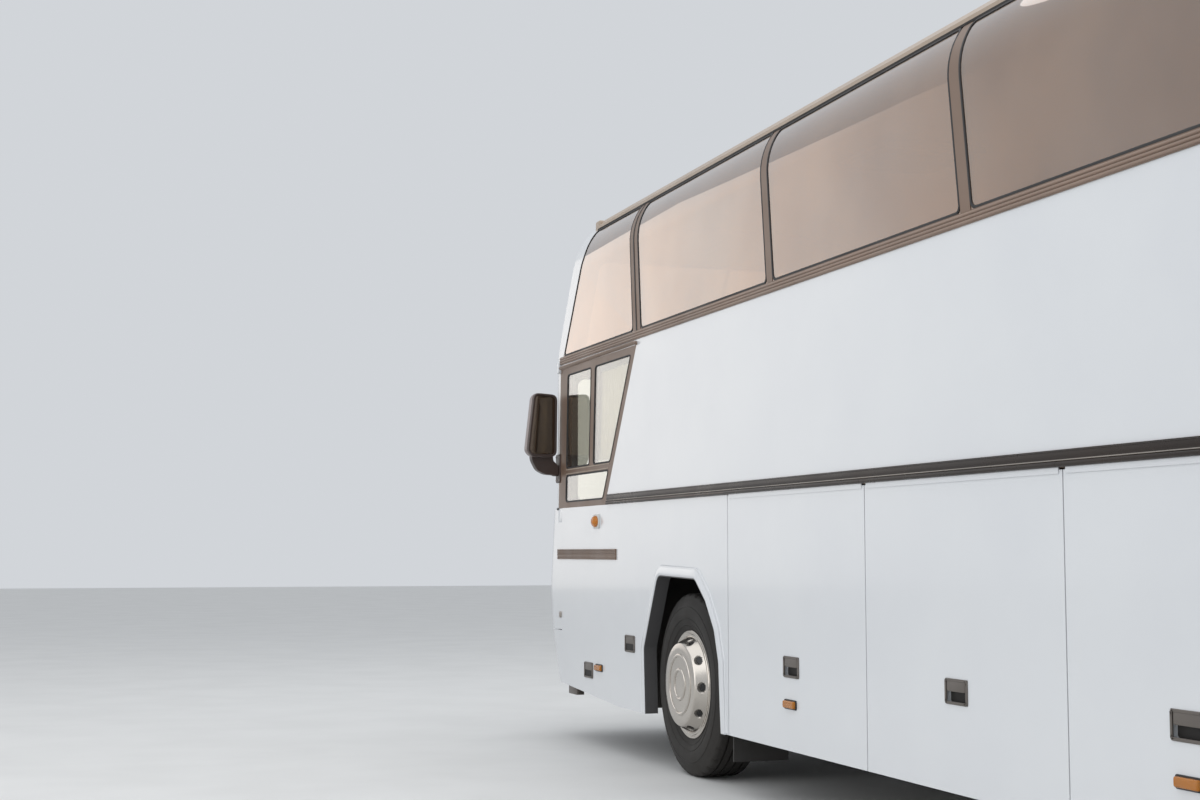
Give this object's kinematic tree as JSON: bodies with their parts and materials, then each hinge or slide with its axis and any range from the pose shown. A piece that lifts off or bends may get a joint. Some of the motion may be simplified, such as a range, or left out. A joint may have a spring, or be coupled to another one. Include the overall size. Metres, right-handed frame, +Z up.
{
  "type": "high-deck touring coach",
  "caption": "Two-axle high-deck touring coach with hinged luggage flaps, entrance door, engine lid, roof hatches, steered front wheels and twin rear wheels.",
  "frame": {"origin": "on the ground, at the middle of the coach's length and width", "axes": "+X to the coach's left, +Y to its rear (it drives towards -Y), +Z up"},
  "size_m": [2.9936, 11.9998, 3.77],
  "materials": {
    "body_white": "clean gloss off-white paint",
    "trim_brown": "satin dark brown coated aluminium",
    "rail_beige": "satin beige coated aluminium",
    "glass_tinted": "bronze tinted reflective glass",
    "glass_clear": "lightly tinted clear glass",
    "lamp_clear": "clear lamp lens",
    "lamp_red": "red lamp lens",
    "frame_paint": "dark grey chassis paint",
    "cast_metal": "plain cast metal",
    "floor_covering": "ribbed grey floor covering",
    "seat_fabric": "woven moquette seat cloth",
    "dash_plastic": "grained dark plastic",
    "mirror_shell": "dark moulded plastic",
    "flap_rubber": "black sheet rubber",
    "tyre_rubber": "black tyre rubber",
    "wheel_steel": "satin stainless steel"
  },
  "bodies": {
    "coach": {"bay_walls": "frame_paint", "cab_frames": "trim_brown", "cab_glass": "glass_clear", "cross_members": "frame_paint", "dashboard": "dash_plastic", "engine_block": "cast_metal", "floors": "floor_covering", "frame_beams": "frame_paint", "front_axle": "cast_metal", "front_bumper": "body_white", "front_cap": "body_white", "front_frame": "body_white", "front_mask": "body_white", "front_side_left": "body_white", "front_side_right": "body_white", "grilles": "trim_brown", "hatch_panels": "body_white", "headlamps": "lamp_clear", "mirrors": "mirror_shell", "mudflaps": "flap_rubber", "rear_axle": "cast_metal", "rear_bumper": "body_white", "rear_lamps": "lamp_red", "rear_panel": "body_white", "rear_side_left": "body_white", "rear_side_right": "body_white", "rear_window": "glass_tinted", "roof": "body_white", "roof_rails": "rail_beige", "roof_unit": "body_white", "seats": "seat_fabric", "side_glass": "glass_tinted", "side_strips": "trim_brown", "upper_side_left": "body_white", "upper_side_right": "body_white", "wheel_houses": "frame_paint", "window_posts": "trim_brown", "windscreens": "glass_clear"},
    "flap_left_1": {"flap_left_1": "body_white"},
    "flap_left_2": {"flap_left_2": "body_white"},
    "flap_left_3": {"flap_left_3": "body_white"},
    "flap_right_1": {"flap_right_1": "body_white"},
    "flap_right_2": {"flap_right_2": "body_white"},
    "flap_right_3": {"flap_right_3": "body_white"},
    "entrance_door": {"door_front": "body_white", "door_glass": "glass_clear"},
    "rear_lid": {"engine_lid": "body_white"},
    "roof_hatch_front": {"hatch_front": "body_white"},
    "roof_hatch_rear": {"hatch_rear": "body_white"},
    "steer_left": {"knuckle_left": "cast_metal"},
    "wheel_front_left": {"tyre_front_left": "tyre_rubber", "rim_front_left": "wheel_steel"},
    "wheels_rear_left": {"tyres_rear_left": "tyre_rubber", "rims_rear_left": "wheel_steel"},
    "steer_right": {"knuckle_right": "cast_metal"},
    "wheel_front_right": {"tyre_front_right": "tyre_rubber", "rim_front_right": "wheel_steel"},
    "wheels_rear_right": {"tyres_rear_right": "tyre_rubber", "rims_rear_right": "wheel_steel"}
  },
  "joints": [
    {"name": "flap_left_1_hinge", "type": "hinge", "parent": "coach", "child": "flap_left_1", "pos_m": [1.258, -1.5785, 1.6095], "axis": [0, -1, 0], "range_deg": [0, 85]},
    {"name": "flap_left_2_hinge", "type": "hinge", "parent": "coach", "child": "flap_left_2", "pos_m": [1.258, 0.045, 1.6095], "axis": [0, -1, 0], "range_deg": [0, 85]},
    {"name": "flap_left_3_hinge", "type": "hinge", "parent": "coach", "child": "flap_left_3", "pos_m": [1.258, 1.545, 1.6095], "axis": [0, -1, 0], "range_deg": [0, 85]},
    {"name": "flap_right_1_hinge", "type": "hinge", "parent": "coach", "child": "flap_right_1", "pos_m": [-1.258, -1.5785, 1.6095], "axis": [0, 1, 0], "range_deg": [0, 85]},
    {"name": "flap_right_2_hinge", "type": "hinge", "parent": "coach", "child": "flap_right_2", "pos_m": [-1.258, 0.045, 1.6095], "axis": [0, 1, 0], "range_deg": [0, 85]},
    {"name": "flap_right_3_hinge", "type": "hinge", "parent": "coach", "child": "flap_right_3", "pos_m": [-1.258, 1.545, 1.6095], "axis": [0, 1, 0], "range_deg": [0, 85]},
    {"name": "entrance_door_hinge", "type": "hinge", "parent": "coach", "child": "entrance_door", "pos_m": [-1.262, -5.5495, 1.4], "axis": [0, 0, 1], "range_deg": [0, 88]},
    {"name": "rear_lid_hinge", "type": "hinge", "parent": "coach", "child": "rear_lid", "pos_m": [0, 5.987, 1.6095], "axis": [1, 0, 0], "range_deg": [0, 80]},
    {"name": "roof_hatch_front_hinge", "type": "hinge", "parent": "coach", "child": "roof_hatch_front", "pos_m": [0, -2.935, 3.684], "axis": [1, 0, 0], "range_deg": [0, 45]},
    {"name": "roof_hatch_rear_hinge", "type": "hinge", "parent": "coach", "child": "roof_hatch_rear", "pos_m": [0, 3.065, 3.684], "axis": [1, 0, 0], "range_deg": [0, 45]},
    {"name": "steering_left", "type": "hinge", "parent": "coach", "child": "steer_left", "pos_m": [0.84, -3.16, 0.475], "axis": [0, 0, 1], "range_deg": [-40, 40]},
    {"name": "wheel_front_left_spin", "type": "hinge", "parent": "steer_left", "child": "wheel_front_left", "pos_m": [1.0525, -3.16, 0.525], "axis": [1, 0, 0], "continuous": true},
    {"name": "wheels_rear_left_spin", "type": "hinge", "parent": "coach", "child": "wheels_rear_left", "pos_m": [0.8925, 2.99, 0.525], "axis": [1, 0, 0], "continuous": true},
    {"name": "steering_right", "type": "hinge", "parent": "coach", "child": "steer_right", "pos_m": [-0.84, -3.16, 0.475], "axis": [0, 0, 1], "range_deg": [-40, 40]},
    {"name": "wheel_front_right_spin", "type": "hinge", "parent": "steer_right", "child": "wheel_front_right", "pos_m": [-1.0525, -3.16, 0.525], "axis": [1, 0, 0], "continuous": true},
    {"name": "wheels_rear_right_spin", "type": "hinge", "parent": "coach", "child": "wheels_rear_right", "pos_m": [-0.8925, 2.99, 0.525], "axis": [1, 0, 0], "continuous": true}
  ],
  "couplings": [
    {"joint": "steering_right", "follows": "steering_left", "ratio": 1}
  ]
}
